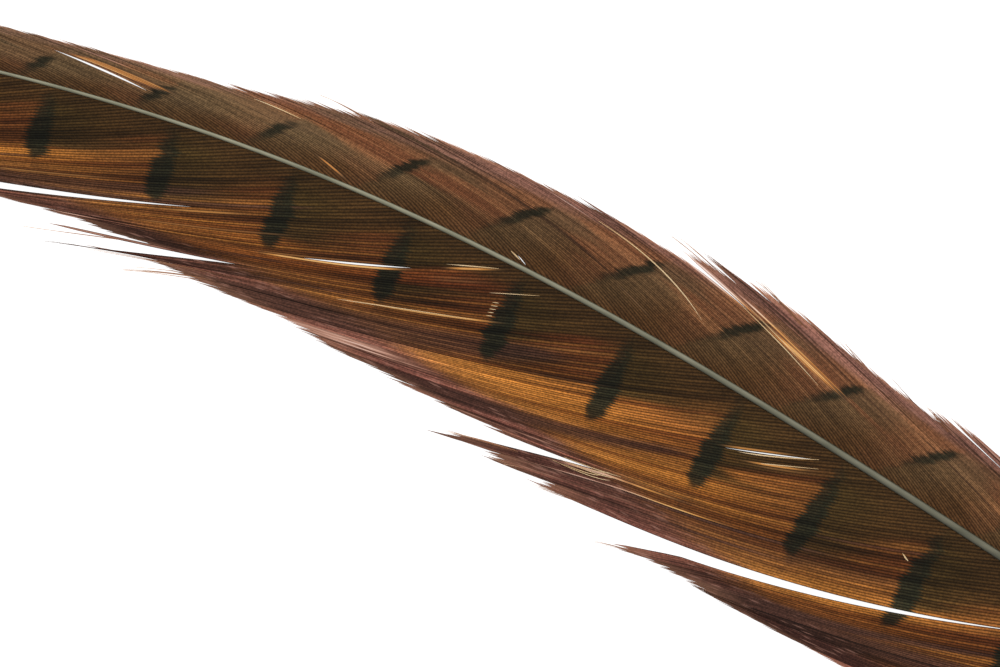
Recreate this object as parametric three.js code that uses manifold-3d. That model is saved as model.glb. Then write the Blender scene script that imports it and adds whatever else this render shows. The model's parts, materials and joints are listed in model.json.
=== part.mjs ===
// A cock pheasant's tail feather, shed whole and lying on its underside.
// The shaft is one long curved quill. The vane on its left, seen from the quill towards
// the tip, is wide, and the one on its right is narrow. Both are parted into locks.
//
// Millimetres. +Z is up, +X runs from the quill to the tip, +Y is on the wide vane's side.
// A place on the feather is given by its station, measured along the shaft from the quill's
// end, and its reach, which is 0 at the shaft and 1 at the vane's margin.

import * as THREE from 'three';
import { mergeVertices } from 'three/addons/utils/BufferGeometryUtils.js';
import Module from 'manifold-3d';

const FEATHER_LENGTH = 420;
const REST_STATION = 210; // the origin, on the shaft's underside

// the shaft seen from above
const QUILL_HEADING = -11; // degrees from +X at the quill's end
const BEND = 0.22; // degrees of turn for each millimetre of the curved stretch
const BEND_START = 181;
const BEND_FULL = 300;

// the shaft's thickness
const QUILL_WIDTH = 2.8;
const QUILL_ROUNDING = 4;
const SHAFT_WIDTH = 1.03;
const SHAFT_WIDTH_STATION = 202;
const SHAFT_TAPER = 161; // the shaft thins by a factor e over this length
const SHAFT_DEPTH = 1.12; // of its width
const SHAFT_POINT = 16; // the last stretch, which thins to nothing

// how the ends curl up off the surface
const TIP_RISE = 4;
const TIP_RISE_START = 300;
const QUILL_RISE = 1.2;
const QUILL_RISE_END = 70;

// the vanes
const LOCK_THICKNESS = 0.45;
const VANE_SEAT = 0.62; // height of the vanes' roots, of the shaft's depth
const VANE_CLEARANCE = 0.32; // height of a flat vane's middle over the surface
const VANE_ARCH = 0.035; // height of the vane's bow, of its width
const PARTING = 0.05; // the hairline between two locks that lie close
const FIRST_BARB = 38;
const LAST_BARB = 409;

// width of each vane at stations along the shaft
const WIDE_VANE_MARGIN = [
  [30, 1], [44, 9], [60, 15.5], [90, 20], [140, 22], [200, 21.8], [226, 21.2], [250, 19.6],
  [272, 18.2], [302, 16], [330, 14], [360, 11.6], [390, 8.2], [408, 4.8], [420, 0.5],
];
const NARROW_VANE_MARGIN = [
  [30, 1], [44, 6], [60, 9], [90, 10.5], [140, 10.6], [190, 9.4], [215, 9.8], [240, 11],
  [262, 10.4], [290, 8], [315, 5.7], [335, 5.2], [370, 4.6], [395, 3.6], [410, 2.3], [420, 0.4],
];

// angle between the shaft and a barb's root, in degrees, at stations along the shaft
const WIDE_VANE_ANGLE = [[30, 50], [60, 40], [120, 29], [280, 26.5], [330, 20], [420, 17]];
const NARROW_VANE_ANGLE = [[30, 48], [60, 38], [120, 30], [280, 27], [330, 21], [420, 17]];

// how far the barbs reach, of the margin's distance, by the station of their roots
const WIDE_VANE_TRIM = [
  [38, 1], [198, 1], [201, 0.965], [246, 0.97], [250, 1], [257, 1], [259, 0.93], [278, 0.93],
  [282, 1], [409, 1],
];
const NARROW_VANE_TRIM = [
  [38, 1], [206, 1], [212, 0.9], [218, 0.96], [232, 1.03], [248, 1.02], [262, 0.98], [276, 0.91],
  [286, 0.97], [298, 1], [409, 1],
];

// Where the vanes are parted. A parting follows the barb rooted at its station. From the
// reach where it opens, the lock on its quill side spreads outwards and the lock on its tip
// side follows less, or draws back. A slit opens between two reaches and closes again.
const parting = (station, opens, spread, follow = 0) => (
  { station, opens, closes: null, spread, follow }
);
const slit = (station, opens, closes, gap) => (
  { station, opens, closes, spread: gap / 2, follow: -gap / 2 }
);
const WIDE_VANE_PARTINGS = [
  parting(50, 0.5, 2, 0.2),
  parting(62, 0.6, 1.4, -0.1),
  parting(76, 0.5, 1.6, 0.5),
  parting(90, 0.75, 0.7, -0.2),
  parting(104, 0.62, 1.3, 0.2),
  parting(119, 0.85, 0.7, -0.1),
  parting(133, 0.55, 1.2, 0.3),
  parting(146, 0.85, 0.7, -0.1),
  parting(160, 0.8, 0.5, -0.2),
  parting(183.5, 0.28, 3.4, 1.9),
  parting(199.5, 0.72, 2.6, 0),
  parting(209, 0.9, 0.2),
  slit(221.5, 0.07, 0.36, 0.24),
  parting(231, 0.9, 0.3),
  parting(246.5, 0.85, 0.4, 0.2),
  parting(257, 0.76, 2.4, -0.1),
  slit(264.6, 0.27, 0.66, 0.46),
  parting(281, 0.5, 0.7, -0.1),
  parting(292, 0.9, 0.2),
  parting(305, 0.84, 0.4, -0.1),
  parting(318, 0.88, 0.3),
  parting(331, 0.7, 0.5, -0.1),
  parting(344, 0.85, 0.3),
  parting(357, 0.75, 0.4, -0.1),
  parting(370, 0.85, 0.25),
  parting(384, 0.8, 0.25),
];
const NARROW_VANE_PARTINGS = [
  parting(50, 0.5, 1.3, 0.1),
  parting(62, 0.45, 1.2, -0.2),
  parting(76, 0.6, 0.9, -0.1),
  parting(90, 0.7, 0.7, -0.1),
  parting(105, 0.65, 0.7, -0.1),
  parting(120, 0.8, 0.5, -0.1),
  parting(134, 0.7, 0.5, -0.1),
  parting(147, 0.8, 0.6, -0.1),
  parting(160, 0.75, 0.4, -0.1),
  parting(172, 0.72, 0.6, -0.1),
  parting(185.5, 0.75, 0.6, -0.1),
  parting(197, 0.78, 0.7, -0.2),
  parting(211, 0.66, 0.9, -0.1),
  slit(229.5, 0.38, 0.82, 0.16),
  parting(243.5, 0.86, 0.4, -0.1),
  parting(251, 0.88, 0.3, -0.1),
  slit(264.6, 0.04, 0.18, 0.35),
  parting(275, 0.86, 0.2, -0.1),
  slit(286.4, 0.06, 0.28, 0.12),
  slit(303.5, 0.42, 0.78, 0.45),
  parting(316, 0.86, 0.2),
  parting(330, 0.75, 0.25),
  parting(345, 0.85, 0.2),
  parting(360, 0.7, 0.25),
  parting(375, 0.85, 0.15),
  parting(390, 0.8, 0.1),
];

const wideVane = {
  sign: 1,
  margin: WIDE_VANE_MARGIN,
  rootAngles: WIDE_VANE_ANGLE,
  partings: WIDE_VANE_PARTINGS,
  trim: WIDE_VANE_TRIM,
  straightening: (reach) => 1 - 0.7 * reach ** 1.3,
};
const narrowVane = {
  sign: -1,
  margin: NARROW_VANE_MARGIN,
  rootAngles: NARROW_VANE_ANGLE,
  partings: NARROW_VANE_PARTINGS,
  trim: NARROW_VANE_TRIM,
  straightening: (reach) => 0.24 + 0.76 * Math.exp(-2.6 * reach),
};

const radians = THREE.MathUtils.degToRad;
const smoothstep = THREE.MathUtils.smoothstep;

// ---- curves through hand-set points

function spanAt(points, x) {
  let i = 0;
  while (i < points.length - 2 && x > points[i + 1][0]) i += 1;
  return i;
}

function straightBetween(points, x) {
  const i = spanAt(points, x);
  const [x0, y0] = points[i];
  const [x1, y1] = points[i + 1];
  return THREE.MathUtils.lerp(y0, y1, THREE.MathUtils.clamp((x - x0) / (x1 - x0), 0, 1));
}

function slopeAt(points, i) {
  const before = points[Math.max(i - 1, 0)];
  const after = points[Math.min(i + 1, points.length - 1)];
  return (after[1] - before[1]) / (after[0] - before[0]);
}

function smoothBetween(points, x) {
  const i = spanAt(points, x);
  const [x0, y0] = points[i];
  const [x1, y1] = points[i + 1];
  const span = x1 - x0;
  const t = THREE.MathUtils.clamp((x - x0) / span, 0, 1);
  const rise = slopeAt(points, i) * span;
  const runOut = slopeAt(points, i + 1) * span;
  return y0 * (2 * t ** 3 - 3 * t ** 2 + 1) + rise * (t ** 3 - 2 * t ** 2 + t)
    + y1 * (3 * t ** 2 - 2 * t ** 3) + runOut * (t ** 3 - t ** 2);
}

// ---- the shaft's line, seen from above

function headingAt(station) {
  const ramp = BEND_FULL - BEND_START;
  const t = THREE.MathUtils.clamp((station - BEND_START) / ramp, 0, 1);
  const rampTurn = BEND * ramp * (t ** 3 - t ** 4 / 2);
  const fullTurn = BEND * Math.max(station - BEND_FULL, 0);
  return radians(QUILL_HEADING + rampTurn + fullTurn);
}

function layShaftLine() {
  const line = [new THREE.Vector2(0, 0)];
  for (let station = 1; station <= FEATHER_LENGTH + 10; station += 1) {
    const heading = headingAt(station - 0.5);
    line.push(line[station - 1].clone().add(new THREE.Vector2(Math.cos(heading), Math.sin(heading))));
  }
  const origin = line[REST_STATION].clone();
  return line.map((point) => point.sub(origin));
}

const shaftLine = layShaftLine();

function placeBeside(station, sideways) {
  const whole = THREE.MathUtils.clamp(Math.floor(station), 0, shaftLine.length - 2);
  const point = shaftLine[whole].clone().lerp(shaftLine[whole + 1], station - whole);
  const heading = headingAt(station);
  return point.add(new THREE.Vector2(-Math.sin(heading), Math.cos(heading)).multiplyScalar(sideways));
}

// ---- heights

function shaftWidth(station) {
  const taper = SHAFT_WIDTH * Math.exp((SHAFT_WIDTH_STATION - station) / SHAFT_TAPER);
  const rounding = 0.3 + 0.7 * Math.sqrt(Math.min(station / QUILL_ROUNDING, 1));
  const point = smoothstep(FEATHER_LENGTH + 4 - station, 0, SHAFT_POINT);
  return Math.min(taper, QUILL_WIDTH) * rounding * point;
}

function undersideHeight(station) {
  const tip = Math.max(station - TIP_RISE_START, 0) / (FEATHER_LENGTH - TIP_RISE_START);
  const quill = Math.max(QUILL_RISE_END - station, 0) / QUILL_RISE_END;
  return TIP_RISE * tip ** 2 + QUILL_RISE * quill ** 2;
}

function vaneHeight(vane, station, reach) {
  const out = THREE.MathUtils.clamp(reach, 0, 1);
  const seat = VANE_SEAT * SHAFT_DEPTH * shaftWidth(station) - VANE_CLEARANCE;
  const arch = VANE_ARCH * smoothBetween(vane.margin, station) * Math.sin(Math.PI * out ** 0.8);
  const height = Math.max(seat, 0) * (1 - out) ** 1.5 + arch + VANE_CLEARANCE;
  return undersideHeight(Math.min(station, FEATHER_LENGTH)) + height;
}

// ---- barbs: how they run, and how the partings move them aside

function barbPath(vane, rootStation, steps) {
  const path = [{ station: rootStation, reach: 0 }];
  const stride = straightBetween(vane.trim, rootStation) / steps;
  const slope = (station, reach) => {
    const angle = straightBetween(vane.rootAngles, station) * vane.straightening(reach);
    return smoothBetween(vane.margin, station) / Math.tan(radians(angle));
  };
  for (let i = 0; i < steps; i += 1) {
    const { station, reach } = path[i];
    const middle = reach + stride / 2;
    const halfway = station + slope(station, middle) * stride / 2;
    path.push({ station: station + slope(halfway, middle) * stride, reach: reach + stride });
  }
  return path;
}

function shiftBeside(split, shift, reach) {
  if (split.closes === null) {
    return shift * (Math.max(reach - split.opens, 0) / (1 - split.opens)) ** 1.4;
  }
  const along = (reach - split.opens) / (split.closes - split.opens);
  return along > 0 && along < 1 ? shift * Math.sin(Math.PI * along) : 0;
}

const closed = parting(0, 0.9, 0);

function lockPoint(vane, lock, share, at) {
  const margin = smoothBetween(vane.margin, at.station);
  const quillShift = shiftBeside(lock.quillSide, lock.quillSide.follow, at.reach);
  const tipShift = shiftBeside(lock.tipSide, lock.tipSide.spread, at.reach);
  const sideways = at.reach * margin + THREE.MathUtils.lerp(quillShift, tipShift, share);
  const root = 0.15 * shaftWidth(at.station);
  const station = at.station - PARTING * (share - 0.5);
  return placeBeside(station, vane.sign * Math.max(sideways, root));
}

// ---- solids

function lockOutline(vane, lock) {
  const edgeSteps = 8;
  const marginSteps = 3;
  const quillEdge = barbPath(vane, lock.from, edgeSteps).map((at) => lockPoint(vane, lock, 0, at));
  const tipEdge = barbPath(vane, lock.to, edgeSteps).map((at) => lockPoint(vane, lock, 1, at));
  const marginEdge = [];
  for (let i = 1; i < marginSteps; i += 1) {
    const share = i / marginSteps;
    const ends = barbPath(vane, THREE.MathUtils.lerp(lock.from, lock.to, share), edgeSteps);
    marginEdge.push(lockPoint(vane, lock, share, ends[edgeSteps]));
  }
  return [...quillEdge, ...marginEdge, ...tipEdge.reverse()];
}

function nearestStation(x, y) {
  const distances = shaftLine.map((point) => Math.hypot(point.x - x, point.y - y));
  return distances.indexOf(Math.min(...distances));
}

function lockGeometry(vane, lock) {
  const outline = new THREE.Shape(lockOutline(vane, lock));
  const settings = { depth: LOCK_THICKNESS, steps: 1, bevelEnabled: false };
  const geometry = new THREE.ExtrudeGeometry(outline, settings);
  const position = geometry.attributes.position;
  for (let i = 0; i < position.count; i += 1) {
    const x = position.getX(i);
    const y = position.getY(i);
    const station = nearestStation(x, y);
    const sideways = Math.hypot(shaftLine[station].x - x, shaftLine[station].y - y);
    const reach = sideways / smoothBetween(vane.margin, station);
    const lift = vaneHeight(vane, station, reach) - LOCK_THICKNESS / 2;
    position.setZ(i, position.getZ(i) + lift);
  }
  return geometry;
}

function shaftGeometry() {
  const half = [[0.3, 0], [0.5, 0.34], [0.5, 0.66], [0.3, 0.93]];
  const left = half.map(([x, y]) => new THREE.Vector2(-x, y)).reverse();
  const section = [...half.map(([x, y]) => new THREE.Vector2(x, y)), new THREE.Vector2(0, 1), ...left];
  const settings = { depth: 1, steps: 64, bevelEnabled: false };
  const geometry = new THREE.ExtrudeGeometry(new THREE.Shape(section), settings);
  const position = geometry.attributes.position;
  for (let i = 0; i < position.count; i += 1) {
    const station = FEATHER_LENGTH * position.getZ(i) ** 1.35;
    const width = shaftWidth(station);
    const place = placeBeside(station, width * position.getX(i));
    const height = undersideHeight(station) + width * SHAFT_DEPTH * position.getY(i);
    position.setXYZ(i, place.x, place.y, height);
  }
  return geometry;
}

const wasm = await Module();
wasm.setup();

function solidFrom(geometry) {
  geometry.deleteAttribute('normal');
  geometry.deleteAttribute('uv');
  const merged = mergeVertices(geometry, 1e-4);
  return new wasm.Manifold(new wasm.Mesh({
    numProp: 3,
    vertProperties: new Float32Array(merged.attributes.position.array),
    triVerts: new Uint32Array(merged.index.array),
  }));
}

function geometryFrom(solid) {
  const mesh = solid.getMesh();
  const geometry = new THREE.BufferGeometry();
  geometry.setAttribute('position', new THREE.BufferAttribute(mesh.vertProperties, 3));
  geometry.setIndex(new THREE.BufferAttribute(mesh.triVerts, 1));
  geometry.computeVertexNormals();
  return geometry;
}

function locksOf(vane) {
  const edges = [{ ...closed, station: FIRST_BARB }, ...vane.partings, { ...closed, station: LAST_BARB }];
  return edges.slice(1).map((tipSide, i) => ({
    from: edges[i].station,
    to: tipSide.station,
    quillSide: edges[i],
    tipSide,
  }));
}

function featherGeometry() {
  let feather = solidFrom(shaftGeometry());
  for (const vane of [wideVane, narrowVane]) {
    for (const lock of locksOf(vane)) {
      feather = feather.add(solidFrom(lockGeometry(vane, lock)));
    }
  }
  return geometryFrom(feather);
}

const keratin = new THREE.MeshStandardMaterial({ color: 0x6b4426, roughness: 0.6, metalness: 0 });
const feather = new THREE.Mesh(featherGeometry(), keratin);
feather.name = 'feather';

const group = new THREE.Group();
group.add(feather);

export default group;
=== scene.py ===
import json
import math

import bpy
import numpy as np
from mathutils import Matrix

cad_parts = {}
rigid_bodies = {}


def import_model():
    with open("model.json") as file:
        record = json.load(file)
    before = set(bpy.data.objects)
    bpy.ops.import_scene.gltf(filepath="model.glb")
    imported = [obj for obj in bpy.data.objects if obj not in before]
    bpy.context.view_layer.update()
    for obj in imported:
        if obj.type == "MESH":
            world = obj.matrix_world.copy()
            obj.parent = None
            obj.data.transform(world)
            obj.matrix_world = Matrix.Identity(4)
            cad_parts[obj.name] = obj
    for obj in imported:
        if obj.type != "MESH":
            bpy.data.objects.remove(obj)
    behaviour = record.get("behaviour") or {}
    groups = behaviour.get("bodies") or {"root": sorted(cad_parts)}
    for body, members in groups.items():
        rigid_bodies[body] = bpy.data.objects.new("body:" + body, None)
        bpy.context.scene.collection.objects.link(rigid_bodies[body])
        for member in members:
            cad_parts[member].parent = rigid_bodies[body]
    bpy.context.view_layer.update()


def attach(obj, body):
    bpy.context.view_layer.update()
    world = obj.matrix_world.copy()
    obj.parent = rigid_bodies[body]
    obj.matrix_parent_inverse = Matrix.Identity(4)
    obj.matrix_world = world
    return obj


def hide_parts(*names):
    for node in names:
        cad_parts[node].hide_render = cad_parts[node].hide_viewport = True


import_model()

# ---- The shaft
# One long horn quill: a bare round calamus to hold, then the rachis that carries the vanes,
# squarer, furrowed underneath, and thinning to a hair at the tip. Lengths are in millimetres,
# and a station is a place along the shaft, counted from the quill's end.

MM = 0.001
FEATHER_LENGTH = 420
REST_STATION = 210
FIRST_BARB = 38

QUILL_HEADING = -11
BEND = 0.22
BEND_START = 181
BEND_FULL = 300

QUILL_WIDTH = 2.8
QUILL_ROUNDING = 4
SHAFT_WIDTH = 1.03
SHAFT_WIDTH_STATION = 202
SHAFT_TAPER = 161
SHAFT_DEPTH = 1.12
SHAFT_POINT = 16
ROUND_UNTIL = 20
SQUARING_LENGTH = 60
SQUARENESS = 0.28
FURROW_DEPTH = 0.16
FURROW_WIDTH = 0.14
SHAFT_SIDES = 64
LENGTH_CUTS = (79, 3)
RINGS_CROWD_AT_QUILL = 1.35

TIP_RISE = 4
TIP_RISE_START = 300
QUILL_RISE = 1.2
QUILL_RISE_END = 70


def heading_at(station):
    ramp = BEND_FULL - BEND_START
    t = np.clip((station - BEND_START) / ramp, 0, 1)
    turn = BEND * ramp * (t**3 - t**4 / 2) + BEND * np.maximum(station - BEND_FULL, 0)
    return np.radians(QUILL_HEADING + turn)


line_stations = np.arange(0, FEATHER_LENGTH + 31, 1.0)
line_turns = heading_at(line_stations[1:] - 0.5)
line_x = np.concatenate([[0], np.cumsum(np.cos(line_turns))])
line_y = np.concatenate([[0], np.cumsum(np.sin(line_turns))])
line_x -= line_x[REST_STATION]
line_y -= line_y[REST_STATION]


def beside(station, sideways):
    """Where a point lies that is sideways of the shaft, to the left seen from the quill."""
    heading = heading_at(station)
    x = np.interp(station, line_stations, line_x) - np.sin(heading) * sideways
    y = np.interp(station, line_stations, line_y) + np.cos(heading) * sideways
    return x, y


def shaft_width(station):
    taper = SHAFT_WIDTH * np.exp((SHAFT_WIDTH_STATION - station) / SHAFT_TAPER)
    rounding = 0.3 + 0.7 * np.sqrt(np.clip(station / QUILL_ROUNDING, 0, 1))
    to_tip = np.clip((FEATHER_LENGTH + 4 - station) / SHAFT_POINT, 0, 1)
    return np.minimum(taper, QUILL_WIDTH) * rounding * to_tip**2 * (3 - 2 * to_tip)


def underside_height(station):
    tip = np.maximum(station - TIP_RISE_START, 0) / (FEATHER_LENGTH - TIP_RISE_START)
    quill = np.maximum(QUILL_RISE_END - station, 0) / QUILL_RISE_END
    return TIP_RISE * tip**2 + QUILL_RISE * quill**2


def deselect_all():
    for one in bpy.context.scene.objects:
        one.select_set(False)


def select_long_edges(piece):
    """In object mode, selects only the edges that run along the piece's Z."""
    points = piece.data.vertices
    for group in (points, piece.data.edges, piece.data.polygons):
        group.foreach_set("select", [False] * len(group))
    for edge in piece.data.edges:
        a, b = (points[i].co for i in edge.vertices)
        edge.select = abs(a.z - b.z) > 1e-6


deselect_all()
bpy.ops.mesh.primitive_cylinder_add(vertices=SHAFT_SIDES, radius=0.5, depth=1, location=(0, 0, 0.5))
shaft = bpy.context.object
shaft.name = "shaft"
bpy.ops.object.transform_apply(location=True)
# in edge mode the choice stays with the long edges, and the rings aren't cut
bpy.context.tool_settings.mesh_select_mode = (False, True, False)
for cuts in LENGTH_CUTS:
    select_long_edges(shaft)
    bpy.ops.object.mode_set(mode="EDIT")
    bpy.ops.mesh.subdivide(number_cuts=cuts)
    bpy.ops.object.mode_set(mode="OBJECT")

ring = np.empty(len(shaft.data.vertices) * 3)
shaft.data.vertices.foreach_get("co", ring)
ring = ring.reshape(-1, 3)
shaft_station = FEATHER_LENGTH * np.clip(ring[:, 2], 0, 1) ** RINGS_CROWD_AT_QUILL
around = np.arctan2(ring[:, 1], ring[:, 0])
squareness = np.clip((shaft_station - ROUND_UNTIL) / SQUARING_LENGTH, 0, 1)
power = 1 - SQUARENESS * squareness
across = 0.5 * np.sign(np.cos(around)) * np.abs(np.cos(around)) ** power
upward = 0.5 * np.sign(np.sin(around)) * np.abs(np.sin(around)) ** power
below = np.clip(-upward / 0.5, 0, 1)
furrow = FURROW_DEPTH * squareness * below * np.exp(-((across / FURROW_WIDTH) ** 2))
grow = shaft_width(shaft_station)
place_x, place_y = beside(shaft_station, grow * across)
height = underside_height(shaft_station) + grow * SHAFT_DEPTH * (0.5 + upward + furrow)
ring = np.stack([place_x, place_y, height], axis=1) * MM
shaft.data.vertices.foreach_set("co", ring.ravel())


def keep_attribute(piece, name, values):
    held = piece.data.attributes.new(name, "FLOAT", "POINT")
    held.data.foreach_set("value", np.asarray(values, dtype=np.float32).ravel())


keep_attribute(shaft, "station", shaft_station)
keep_attribute(shaft, "across", across * 2)
keep_attribute(shaft, "upward", upward * 2)
for face in shaft.data.polygons:
    face.use_smooth = True
shaft.data.update()


class Finish:
    """A material being wired up: each call adds one node and gives back its output."""

    def __init__(self, name, roughness, specular):
        self.material = bpy.data.materials.new(name)
        self.material.use_nodes = True
        self.nodes = self.material.node_tree.nodes
        self.links = self.material.node_tree.links
        self.shader = self.nodes["Principled BSDF"]
        self.shader.inputs["Roughness"].default_value = roughness
        self.shader.inputs["Specular IOR Level"].default_value = specular

    def plug(self, socket, value):
        if isinstance(value, bpy.types.NodeSocket):
            self.links.new(value, socket)
        elif isinstance(value, tuple):
            socket.default_value = (*value, 1)
        else:
            socket.default_value = value

    def attribute(self, name):
        node = self.nodes.new("ShaderNodeAttribute")
        node.attribute_name = name
        return node.outputs["Fac"]

    def sum(self, operation, a, b=0.0, c=0.0):
        node = self.nodes.new("ShaderNodeMath")
        node.operation = operation
        for socket, value in zip(node.inputs, (a, b, c)):
            self.plug(socket, value)
        return node.outputs[0]

    def times(self, a, b):
        return self.sum("MULTIPLY", a, b)

    def times_plus(self, a, b, c):
        return self.sum("MULTIPLY_ADD", a, b, c)

    def step(self, value, low, high, start=0.0, end=1.0):
        node = self.nodes.new("ShaderNodeMapRange")
        node.interpolation_type = "SMOOTHSTEP"
        for socket, given in zip(node.inputs, (value, low, high, start, end)):
            self.plug(socket, given)
        return node.outputs[0]

    def curve(self, value, points):
        node = self.nodes.new("ShaderNodeFloatCurve")
        line = node.mapping.curves[0]
        for x, y in points[1:-1]:
            line.points.new(x, y)
        for held, (x, y) in zip(line.points, points):
            held.location = (x, y)
        node.mapping.update()
        self.plug(node.inputs["Value"], value)
        return node.outputs[0]

    def ramp(self, value, stops):
        node = self.nodes.new("ShaderNodeValToRGB")
        while len(node.color_ramp.elements) < len(stops):
            node.color_ramp.elements.new(0.5)
        for held, (place, colour) in zip(node.color_ramp.elements, stops):
            held.position = place
            held.color = (*colour, 1)
        self.plug(node.inputs["Fac"], value)
        return node.outputs["Color"]

    def blend(self, amount, a, b):
        node = self.nodes.new("ShaderNodeMix")
        node.data_type = "RGBA"
        self.plug(node.inputs["Factor"], amount)
        self.plug(node.inputs[6], a)
        self.plug(node.inputs[7], b)
        return node.outputs[2]

    def noise(self, scale, detail, stretch=(1, 1, 1)):
        node = self.nodes.new("ShaderNodeTexNoise")
        node.inputs["Scale"].default_value = scale
        node.inputs["Detail"].default_value = detail
        space = self.nodes.new("ShaderNodeTexCoord")
        stretched = self.nodes.new("ShaderNodeMapping")
        stretched.inputs["Scale"].default_value = stretch
        self.links.new(space.outputs["Object"], stretched.inputs["Vector"])
        self.links.new(stretched.outputs["Vector"], node.inputs["Vector"])
        return node.outputs["Fac"]

    def grain(self, across, along, detail=2.0):
        """Noise that is drawn out along each barb."""
        spot = self.nodes.new("ShaderNodeCombineXYZ")
        self.plug(spot.inputs["X"], across)
        self.plug(spot.inputs["Y"], along)
        node = self.nodes.new("ShaderNodeTexNoise")
        node.inputs["Scale"].default_value = 1.0
        node.inputs["Detail"].default_value = detail
        self.links.new(spot.outputs["Vector"], node.inputs["Vector"])
        return node.outputs["Fac"]

    def scaled(self, colour, amount):
        node = self.nodes.new("ShaderNodeVectorMath")
        node.operation = "SCALE"
        self.plug(node.inputs[0], colour)
        self.plug(node.inputs["Scale"], amount)
        return node.outputs[0]

    def bump(self, height, depth, strength):
        node = self.nodes.new("ShaderNodeBump")
        node.inputs["Distance"].default_value = depth
        node.inputs["Strength"].default_value = strength
        self.plug(node.inputs["Height"], height)
        self.links.new(node.outputs["Normal"], self.shader.inputs["Normal"])

    def paint(self, colour):
        self.links.new(colour, self.shader.inputs["Base Color"])


def shade(red, green, blue):
    """A colour given as 0 to 255, in the linear values that the renderer wants."""
    values = np.array([red, green, blue]) / 255
    linear = np.where(values > 0.04045, ((values + 0.055) / 1.055) ** 2.4, values / 12.92)
    return tuple(float(v) for v in linear)


horn = Finish("shaft_horn", roughness=0.38, specular=0.45)
along_shaft = horn.attribute("station")
side = horn.sum("ABSOLUTE", horn.attribute("across"))
mottle = horn.noise(900, 3, stretch=(0.25, 1, 1))
green = horn.ramp(mottle, [(0.3, shade(100, 99, 78)), (0.7, shade(131, 127, 105))])
# painted shade: the shaft's colour darkens towards both its edges, where its rounded sides turn
# from the light, and more across towards the wide vane's side
green = horn.blend(horn.step(side, 0.5, 0.95, 0, 0.9), green, shade(58, 54, 40))
shaded = horn.step(horn.attribute("across"), -0.2, 0.95, 0, 0.8)
green = horn.blend(shaded, green, shade(50, 48, 36))
green = horn.scaled(green, horn.step(along_shaft, 195, 305, 0.68, 1.36))
bare = horn.ramp(mottle, [(0.3, shade(186, 176, 146)), (0.7, shade(212, 204, 178))])
bare = horn.blend(horn.step(along_shaft, 0, 6, 0.5, 0), bare, shade(120, 98, 66))
colour = horn.blend(horn.step(along_shaft, 30, 120), bare, green)
pith = horn.ramp(mottle, [(0.3, shade(168, 158, 132)), (0.7, shade(188, 180, 154))])
colour = horn.blend(horn.step(horn.attribute("upward"), -0.1, -0.7, 0, 0.8), colour, pith)
horn.paint(colour)
horn.bump(mottle, 0.00003, 0.6)
shaft.data.materials.append(horn.material)
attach(shaft, "root")
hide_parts("feather")

# ---- The wide vane
# Some 400 barbs on the left of the shaft. Each is a fine keratin rod with a web of barbules
# on either side that hooks into its neighbours. They leave the shaft at a slant, curve
# towards the tip and crowd together at the margin, where the vane is parted into locks.

VANE_SEAT = 0.62
VANE_CLEARANCE = 0.32
VANE_ARCH = 0.035
VANE_LOWEST = 0.15
BARB_STEPS = 44
LAST_BARB = 418
PARTING_CURVE = 1.4
FLICK_BEGINS = 0.835
FLICK_RUN = 0.095
FLICK_MOST = 1.1
BUNCH_STRAY = 0.035
BUNCH_LIFT = 0.1
WEB_LAP = 1.2
MARGIN_LAP = 0.9
RIDGE_LEAST = 0.015
RIDGE_PER_WEB = 0.16

wide_margin = [
    (30, 1), (44, 9), (60, 15.5), (90, 20), (140, 22), (200, 21.8), (226, 21.2), (250, 19.6),
    (272, 18.2), (302, 16), (330, 14), (360, 11.6), (390, 8.2), (408, 4.8), (420, 0.5),
]
wide_angle = [(30, 50), (60, 40), (120, 29), (280, 26.5), (330, 20), (420, 17)]
wide_trim = [
    (38, 1.02), (128, 1.02), (140, 0.94), (149, 0.96), (153, 0.99), (157, 1.018), (160, 1.01),
    (165, 0.967), (170, 0.934), (174, 0.918), (180, 0.911), (183, 0.922), (183.6, 1.02),
    (185, 1), (188.6, 0.965), (189.6, 1.02), (191, 1), (195.4, 0.97), (197, 1.02),
    (199.4, 0.98), (200, 0.92), (203, 0.97), (209, 1), (216, 1.02), (226, 0.99), (234, 1.01),
    (247, 1), (250, 1.03), (257, 1.03), (257.5, 0.9), (260, 0.94), (278, 0.96), (282, 1.02),
    (404, 1.02), (418, 0.78),
]
wide_pitch = [(38, 0.95), (120, 0.86), (225, 0.84), (270, 0.93), (305, 1.0), (409, 1.1)]


def parting(station, opens, spread, follow=0.0, flick=0.0):
    """Where two locks part for good, and how far each one moves out at the margin.

    A flick swings the very end of the lock on the quill's side out further still.
    """
    return station, opens, None, spread, follow, flick


def slit(station, opens, closes, gap):
    """Where two locks stand apart for a stretch and close again."""
    return station, opens, closes, gap / 2, -gap / 2, 0.0


wide_partings = [
    parting(50, 0.5, 2, 0.2),
    parting(62, 0.6, 1.4, -0.1),
    parting(76, 0.5, 1.6, 0.5),
    parting(90, 0.75, 0.7, -0.2),
    parting(104, 0.62, 1.3, 0.2),
    parting(119, 0.85, 0.7, -0.1),
    parting(133, 0.55, 1.2, 0.3),
    parting(146, 0.85, 0.7, -0.1),
    parting(160, 0.5, 0.8, 0.9),
    parting(183.5, 0.16, 3.5, 1.6, flick=0.45),
    parting(199.5, 0.8, 2.5, 0),
    parting(209, 0.9, 0.2),
    slit(221.5, 0.07, 0.34, 0.2),
    parting(246.5, 0.85, 0.4, 0.2),
    parting(257, 0.76, 2.4, 0.4),
    slit(264.6, 0.28, 0.6, 0.3),
    parting(281, 0.44, 1.1, -0.1),
    parting(305, 0.84, 0.4, -0.1),
    parting(331, 0.7, 0.5, -0.1),
    parting(357, 0.75, 0.4, -0.1),
    parting(384, 0.8, 0.25),
]

# Where one lock lies over the next, painted shade makes the vane dark and plum-coloured, and where
# it is thin, painted light stands for the light it lets through.


def mark(root, spread, begins, ends, strength, lean=0.0):
    """A mark on the barbs about one root, and how far it leans from root to root outwards."""
    return root, spread, begins, ends, strength, lean


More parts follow.
